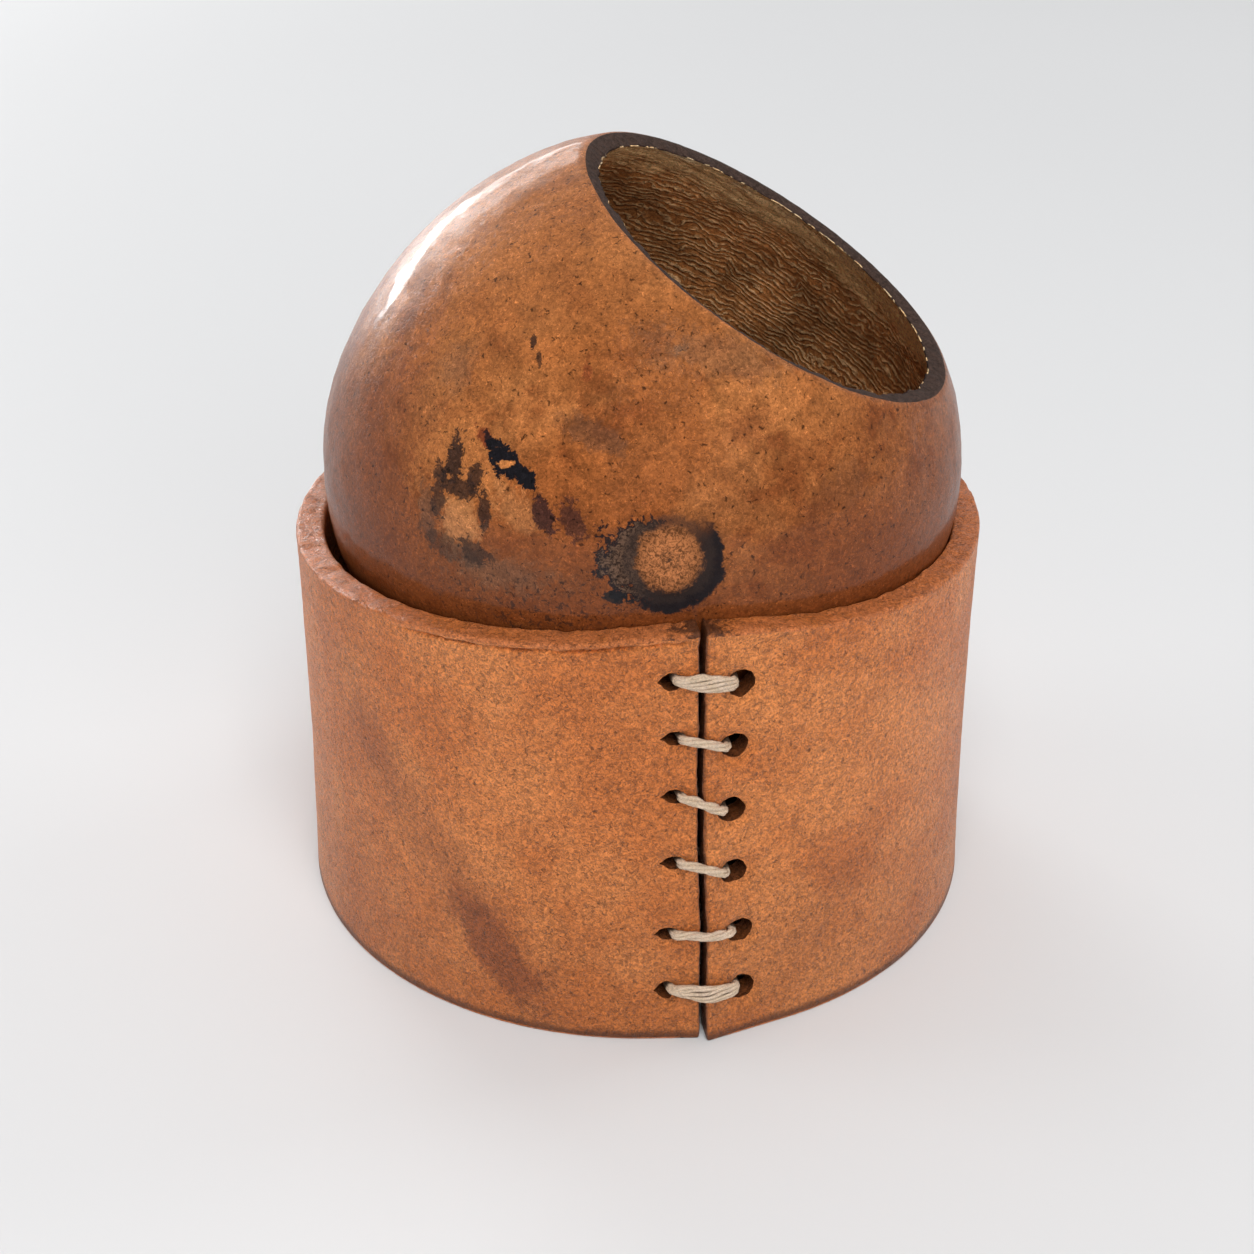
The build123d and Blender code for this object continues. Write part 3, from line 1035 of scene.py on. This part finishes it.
def leather_material(settings):
    """Undyed tanned leather: fine curly grain, paler and darker clouds, a rubbed dark smear, and painted
    shade towards the foot.
    """
    material, tree, shader = new_material("Tanned leather")
    place = millimetres(tree, RING_CENTRE)
    chart, turn, height = round_chart(tree, place, False)
    grain = shared(tree, "Curly grain", Place=place, Size=0.44)
    pebble = shared(tree, "Curly grain", Place=place, Size=0.85)
    broad = cloud(tree, place, 15.0, 4.0, 0.6)
    torn = line(tree, cloud(tree, place, 5.0, 5.0, 0.7), 2.0, -1.0)
    colour = ramp(tree, broad, 0.38, 0.64)
    colour = blend(tree, colour, settings.grain_side, settings.grain_pale)
    colour = paint_spots(tree, chart, colour, torn, LEATHER_SMEARS, {"rubbed": settings.grain_dark})
    colour = grained(tree, colour, grain, pebble, (0.36, 0.64, 0.63, 1.35), (0.9, 1.1), 0.5, -0.5)
    # painted shade: the leather is darkened towards the foot
    colour = shade(tree, colour, ramp(tree, height, 0.0, 30.0, 0.84, 1.0))
    foot = ramp(tree, line(tree, torn, 0.5, height), 0.5, 1.6, 0.85, 0.0)
    colour = blend(tree, foot, colour, (0.09, 0.028, 0.012))
    colour = blend(tree, seam_wear(tree, from_seam(tree, turn, height), torn), colour, (0.16, 0.048, 0.018))
    feed(
        tree,
        shader,
        Base_Color=colour,
        Roughness=ramp(tree, grain["Grain"], 0.3, 0.7, 0.5, 0.66),
        Specular_IOR_Level=0.3,
        Sheen_Weight=0.15,
        Sheen_Roughness=0.35,
        Normal=bump(tree, grain["Height"], 0.12, bump(tree, pebble["Height"], 0.14)),
    )
    return material


def from_seam(tree, turn, height):
    """Degrees from the leaning seam, either way."""
    lean = ramp(tree, height, *SEAM_BEND, *(np.degrees(SEAM_LEAN) / FOOT_RADIUS))
    return maths(tree, "ABSOLUTE", maths(tree, "ADD", turn, lean))


def seam_wear(tree, distance, torn):
    """How dark the leather is at the very edges of the seam."""
    return ramp(tree, line(tree, torn, 0.3, distance), 0.45, 0.95, 0.6, 0.0)


def cut_edge_material(settings, name, glossy, bright=1.0):
    """Cut leather: reddish brown, fibrous, with pale scuffs; a bright below one darkens it as painted
    shade.
    """
    material, tree, shader = new_material(name)
    place = millimetres(tree, RING_CENTRE)
    _, turn, height = round_chart(tree, place, False)
    grain = shared(tree, "Curly grain", Place=place, Size=0.42)
    crackle = shared(tree, "Curly grain", Place=place, Size=1.1)
    torn = line(tree, cloud(tree, place, 0.9, 4.0, 0.75), 2.6, -1.3)
    patch = ramp(tree, cloud(tree, place, 3.5, 3.0), 0.4, 0.66)
    colour = blend(tree, patch, settings.cut_edge, settings.grain_side)
    colour = shade(tree, colour, ramp(tree, grain["Grain"], 0.33, 0.67, 0.62 * bright, 1.35 * bright))
    colour = shade(tree, colour, line(tree, crackle["Fibres"], -0.35, 1.0))
    distance = line(tree, torn, 6.0, from_seam(tree, turn, height))
    colour = blend(tree, ramp(tree, distance, 2.0, 4.5, 0.85, 0.0), colour, (0.050, 0.018, 0.009))
    feed(
        tree,
        shader,
        Base_Color=colour,
        Roughness=ramp(tree, crackle["Grain"], 0.35, 0.65, *((0.36, 0.56) if glossy else (0.6, 0.8))),
        Normal=bump(tree, grain["Height"], 0.14, bump(tree, crackle["Height"], 0.2)),
    )
    return material


def make_ring(settings, gourd, thread):
    points, faces, slots = ring_mesh(settings, gourd)
    outside = leather_material(settings)
    edge = cut_edge_material(settings, "Cut leather edge", True)
    flesh = cut_edge_material(settings, "Flesh side of leather", False)
    # painted shade: the walls of the holes and grooves get the cut edge darkened to a third
    punched = cut_edge_material(settings, "Punched leather", False, 0.32)
    centre = np.array(RING_CENTRE)
    piece = new_piece("leather_band", points * MM + centre, faces, [outside, edge, flesh], slots)
    for cutter in (groove_cutters(thread), hole_cutters()):
        corners, sides = cutter
        tool = new_piece("cutter", np.array(corners) * MM + centre, sides, [punched])
        cut_away(piece, tool)
    piece.data.set_sharp_from_angle(angle=math.radians(48))
    return piece


# ---------------------------------------------------------------- stitches


def inner_run(row, thread):
    """Y of the thread's run behind the leather, sunk in its groove."""
    left, right, left_share, right_share, _ = row
    low, high = left_share * MEAN_HEIGHT, right_share * MEAN_HEIGHT
    inside = max(wall_front(right, high, 1, RING_WALL), wall_front(left, low, 0, RING_WALL))
    return inside - thread * 0.35


def rounded_loop(corners, passes=4, spacing=0.17):
    """A smooth closed line through the middle of a corner polygon, evenly spaced."""
    line = np.array(corners)
    for _ in range(passes):
        after = np.roll(line, -1, axis=0)
        line = np.stack([0.75 * line + 0.25 * after, 0.25 * line + 0.75 * after], 1).reshape(-1, 3)
    closed = np.vstack([line, line[:1]])
    run = np.concatenate([[0], np.cumsum(np.linalg.norm(np.diff(closed, axis=0), axis=1))])
    count = int(run[-1] / spacing)
    places = np.linspace(0, run[-1], count, endpoint=False)
    return np.stack([np.interp(places, run, closed[:, axis]) for axis in range(3)], -1)


def stitch_line(row, thread):
    """The closed line of one stitch, and each point's share of the way across from left to right."""
    left, right, left_share, right_share, tall = row
    low, high = left_share * MEAN_HEIGHT, right_share * MEAN_HEIGHT
    inside = inner_run(row, thread)
    thick = tall > SHEAF_HEIGHT
    # the pull of the thread keeps it against the side of each hole that is nearer the seam
    start, end = -left + (0.6 if thick else 0.95), right - (0.85 if thick else 1.05)
    sag = -0.15 if thick else -0.30
    lift = (0.4, 0.45) if thick else (0.15, 0.3)
    over = thread / 2 + 0.04

    def at(share, y, dip=0.0):
        height = low + lift[0] + (high + lift[1] - low - lift[0]) * share
        return (start + (end - start) * share, y, height - dip)

    def skin(share):
        x = start + (end - start) * share
        height = low + (high - low) * share
        return float(wall_front(abs(x), height, int(x > 0))) - over

    corners = [
        at(0.0, inside + 0.1),
        at(0.12, inside),
        at(0.88, inside),
        at(1.0, inside + 0.1),
        at(1.0, inside - 1.2),
        at(1.0, skin(1.0) + 1.6),
        at(1.0, skin(1.0) + 0.5),
        at(0.93, skin(0.93) + 0.12, sag * 0.4),
        at(0.7, skin(0.7), sag),
        at(0.52, skin(0.52) - 0.05, sag * 1.2),
        at(0.3, skin(0.3), sag),
        at(0.07, skin(0.07) + 0.12, sag * 0.3),
        at(0.0, skin(0.0) + 0.5),
        at(0.0, skin(0.0) + 1.6),
        at(0.0, inside - 1.2),
    ]
    line = rounded_loop(corners)
    share = (line[:, 0] - start) / (end - start)
    surface = skin(0.5)
    outer = smooth_step(-line[:, 1], -surface - 1.6, -surface - 0.4)
    return line, share, outer


def ply_tube(line, radius, flutes, twist, phase):
    """A closed tube along a closed line, with twisted flutes for its fibres."""
    around = 3 * flutes
    count = len(line)
    ahead = np.roll(line, -1, axis=0) - np.roll(line, 1, axis=0)
    ahead = ahead / np.linalg.norm(ahead, axis=1)[:, None]
    helper = np.array([0.0, 0.0, 1.0])
    out = np.cross(ahead, helper)
    out = out / np.linalg.norm(out, axis=1)[:, None]
    side = np.cross(out, ahead)
    angles = np.linspace(0, 2 * math.pi, around, endpoint=False)
    turning = phase + 2 * math.pi * twist * np.arange(count) / count
    fluted = 1 + 0.13 * np.cos(flutes * (angles[None, :] + turning[:, None]))
    reach = radius[:, None] * fluted
    points = line[:, None, :]
    points = points + (reach * np.cos(angles))[..., None] * out[:, None, :]
    points = points + (reach * np.sin(angles))[..., None] * side[:, None, :]
    faces = []
    for ring in range(count):
        after = (ring + 1) % count
        here, there = ring * around, after * around
        for corner in range(around):
            following = (corner + 1) % around
            faces.append((here + corner, there + corner, there + following, here + following))
    return points.reshape(-1, 3), faces


def stitch_mesh(row, thread, seed):
    """All plies of one stitch: four for a thin one, a flat sheaf of more for a thick one."""
    chance = random.Random(seed)
    line, share, outer = stitch_line(row, thread)
    tall = row[4]
    thick = tall > SHEAF_HEIGHT
    plies = 9 if thick else 4
    ply = thread * (0.2 if thick else 0.235)
    count = len(line)
    run = np.arange(count) / count
    ahead = np.roll(line, -1, axis=0) - np.roll(line, 1, axis=0)
    ahead = ahead / np.linalg.norm(ahead, axis=1)[:, None]
    out = np.cross(ahead, np.array([0.0, 0.0, 1.0]))
    out = out / np.linalg.norm(out, axis=1)[:, None]
    up = np.cross(out, ahead)
    points, faces = [], []
    # a thick stitch is a spindle: gathered at the left hole and full at the right of the seam
    belly = np.sin(np.pi * np.clip(share, 0, 1) ** 1.1) ** 0.75
    narrow = np.where(share > 0.5, 0.6, 0.2)
    spread = np.where(outer > 0.5, narrow + (1 - narrow) * belly, 0.42) if thick else np.ones(count)
    for _ in range(6):
        spread = (np.roll(spread, 1) + spread + np.roll(spread, -1)) / 3
    turns = 1 if thick else 2
    for number in range(plies):
        angle = 2 * math.pi * (number / plies + turns * run)
        wide = thread / 2 - ply
        high = (tall / 2 - ply) * spread if thick else wide
        wander = np.array([chance.uniform(-1, 1) for _ in range(6)])
        sway = np.zeros(count)
        for order in range(6):
            phase = 2 * math.pi * (order + 2) * run + wander[order - 1] * 3
            sway = sway + wander[order] * np.sin(phase)
        path = line + out * (wide * np.cos(angle))[:, None]
        path = path + up * (high * np.sin(angle) + 0.03 * sway)[:, None]
        radius = np.full(count, ply) * (1 + 0.06 * sway)
        tube, sides = ply_tube(path, radius, 5, 3, chance.uniform(0, 6))
        start = len(points)
        points += list(tube)
        faces += [tuple(start + corner for corner in side) for side in sides]
    return np.array(points), faces


def thread_material(settings):
    """Undyed waxed thread: creamy, with darker grooves between its fibres and painted shade where it dives
    into the leather.
    """
    material, tree, shader = new_material("Waxed thread")
    place = millimetres(tree, RING_CENTRE)
    grain = shared(tree, "Curly grain", Place=place, Size=0.2)
    broad = cloud(tree, place, 1.6, 3.0)
    colour = blend(tree, ramp(tree, broad, 0.35, 0.65), settings.colour, (0.62, 0.47, 0.33))
    colour = shade(tree, colour, ramp(tree, grain["Grain"], 0.3, 0.7, 0.72, 1.25))
    # painted shade: the thread is darkened where it dives into the leather, in the shade of the holes
    x, y, z = feed(tree, add(tree, "ShaderNodeSeparateXYZ"), Vector=place).outputs
    from_axis = maths(tree, "SQRT", line(tree, x, x, times(tree, y, y)))
    share = maths(tree, "DIVIDE", z, MEAN_HEIGHT)
    bowl = line(tree, share, 4 * WAIST, RIM_RADIUS - FOOT_RADIUS - 4 * WAIST)
    wall = line(tree, share, bowl, FOOT_RADIUS)
    sunk = ramp(tree, maths(tree, "SUBTRACT", from_axis, wall), 0.25, -0.25, 0.0, 0.93)
    colour = blend(tree, sunk, colour, (0.045, 0.022, 0.012))
    feed(
        tree,
        shader,
        Base_Color=colour,
        Roughness=ramp(tree, grain["Grain"], 0.3, 0.7, 0.45, 0.65),
        Normal=bump(tree, grain["Height"], 0.05),
    )
    return material


# ---------------------------------------------------------------- stage


def make_floor(settings):
    material, tree, shader = new_material("Pale floor")
    cloudy = cloud(tree, millimetres(tree, RING_CENTRE), 400.0, 1.0)
    colour = shade(tree, settings.floor, ramp(tree, cloudy, 0.3, 0.7, 0.985, 1.015))
    feed(tree, shader, Base_Color=colour, Roughness=0.75, Specular_IOR_Level=0.25)
    size = 3.0
    corners = [(-size, -size, 0), (size, -size, 0), (size, size, 0), (-size, size, 0)]
    new_piece("floor", corners, [(0, 1, 2, 3)], [material])


def area_light(name, place, aim, size, power):
    data = bpy.data.lights.new(name, "AREA")
    data.shape = "RECTANGLE"
    data.size, data.size_y = size
    data.energy = power
    lamp = bpy.data.objects.new(name, data)
    lamp.location = place
    lamp.rotation_mode = "QUATERNION"
    lamp.rotation_quaternion = (Vector(aim) - Vector(place)).to_track_quat("-Z", "Y")
    bpy.context.scene.collection.objects.link(lamp)
    return lamp


def make_lights():
    target = (0, 0, 0.05)
    for name, place, size, power in (
        ("low_window", (-0.71, 1.85, 0.27), (0.72, 0.20), 17.0),
        ("far_window", (-0.14, 1.96, 0.37), (0.50, 0.16), 2.1),
        ("back_window", (-0.22, 0.80, 0.42), (0.45, 0.14), 0.8),
    ):
        area_light(name, place, target, size, power)
    for name, place, size, power in (
        ("front_fill", (0.10, -0.98, 0.46), (0.9, 0.6), 4.7),
        ("mouth_fill", (-0.05, -0.55, 0.85), (0.5, 0.5), 5.5),
        ("left_fill", (-1.1, 0.35, 0.35), (0.5, 0.5), 3.0),
        ("right_fill", (1.1, 0.35, 0.35), (0.5, 0.5), 3.6),
    ):
        area_light(name, place, target, size, power).visible_glossy = False
    world = bpy.data.worlds.new("studio")
    world.use_nodes = True
    tree = world.node_tree
    # the room is dim on the side of the viewer and bright behind and beside the cup
    way = add(tree, "ShaderNodeTexCoord").outputs["Generated"]
    behind = vectors(tree, "DOT_PRODUCT", way, (0.0, 1.0, 0.0))
    strength = ramp(tree, behind, -0.4, 0.6, 0.16, 0.68)
    feed(tree, tree.nodes["Background"], Color=(0.97, 0.98, 1.0), Strength=strength)
    bpy.context.scene.world = world


def make_camera(settings):
    data = bpy.data.cameras.new("camera")
    data.lens = settings.lens
    data.sensor_width = 36
    camera = bpy.data.objects.new("camera", data)
    turn = Matrix.Rotation(-settings.turn, 3, "Z")
    flat = settings.distance * math.cos(settings.height)
    high = settings.distance * math.sin(settings.height)
    # aimed a little left of the foot's centre and above it
    ahead = turn @ Vector((-0.00494, 0.87419, -0.48556))
    camera.location = turn @ Vector((0, -flat, high)) + RING_CENTRE
    camera.rotation_mode = "QUATERNION"
    camera.rotation_quaternion = ahead.to_track_quat("-Z", "Y")
    bpy.context.scene.collection.objects.link(camera)
    bpy.context.scene.camera = camera


# ---------------------------------------------------------------- operators


def join_frame(piece, node):
    """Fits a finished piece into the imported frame, in place of its plain node."""
    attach(piece, "root")
    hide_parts(node)


class MakeGourd(bpy.types.Operator):
    """Make the hollow gourd with its skin, lip and inside"""

    bl_idname = "gourd_cup.make_gourd"
    bl_label = "Make Gourd"

    def execute(self, context):
        join_frame(make_gourd(context.scene.gourd_settings), "gourd_cup")
        return {"FINISHED"}


class MakeRing(bpy.types.Operator):
    """Make the leather ring with its cut rim and lacing holes"""

    bl_idname = "gourd_cup.make_ring"
    bl_label = "Make Leather Ring"

    def execute(self, context):
        scene = context.scene
        thread = scene.thread_settings.thickness / MM
        ring = make_ring(scene.leather_settings, scene.gourd_settings, thread)
        join_frame(ring, "leather_ring")
        return {"FINISHED"}


class MakeStitches(bpy.types.Operator):
    """Make the stitches of twisted thread over the seam"""

    bl_idname = "gourd_cup.make_stitches"
    bl_label = "Make Stitches"

    def execute(self, context):
        settings = context.scene.thread_settings
        material = thread_material(settings)
        for number, (name, row) in enumerate(zip(STITCHES, LACING)):
            points, faces = stitch_mesh(row, settings.thickness / MM, 40 + number)
            points = points * MM + np.array(RING_CENTRE)
            piece = new_piece(name.replace("stitch", "thread"), points, faces, [material])
            join_frame(piece, name)
        return {"FINISHED"}


class MakeStage(bpy.types.Operator):
    """Make the floor, the soft lights and the camera"""

    bl_idname = "gourd_cup.make_stage"
    bl_label = "Make Stage"

    def execute(self, context):
        settings = context.scene.stage_settings
        make_floor(settings)
        make_lights()
        make_camera(settings)
        return {"FINISHED"}


class GourdCupPanel(bpy.types.Panel):
    """Lists the makers of the gourd cup"""

    bl_idname = "VIEW3D_PT_gourd_cup"
    bl_label = "Gourd Cup"
    bl_space_type = "VIEW_3D"
    bl_region_type = "UI"
    bl_category = "Gourd Cup"

    def draw(self, context):
        for maker in MAKERS:
            self.layout.operator(maker.bl_idname)


MAKERS = (MakeGourd, MakeRing, MakeStitches, MakeStage)
SETTINGS = {
    "gourd_settings": GourdSettings,
    "leather_settings": LeatherSettings,
    "thread_settings": ThreadSettings,
    "stage_settings": StageSettings,
}


def register():
    for kind in (*SETTINGS.values(), *MAKERS, GourdCupPanel):
        bpy.utils.register_class(kind)
    for name, kind in SETTINGS.items():
        setattr(bpy.types.Scene, name, bpy.props.PointerProperty(type=kind))


def unregister():
    for name in SETTINGS:
        delattr(bpy.types.Scene, name)
    for kind in reversed((*SETTINGS.values(), *MAKERS, GourdCupPanel)):
        bpy.utils.unregister_class(kind)


def main():
    register()
    bpy.context.scene.view_settings.view_transform = "Standard"
    bpy.ops.gourd_cup.make_gourd()
    bpy.ops.gourd_cup.make_ring()
    bpy.ops.gourd_cup.make_stitches()
    bpy.ops.gourd_cup.make_stage()


if __name__ == "__main__":
    main()
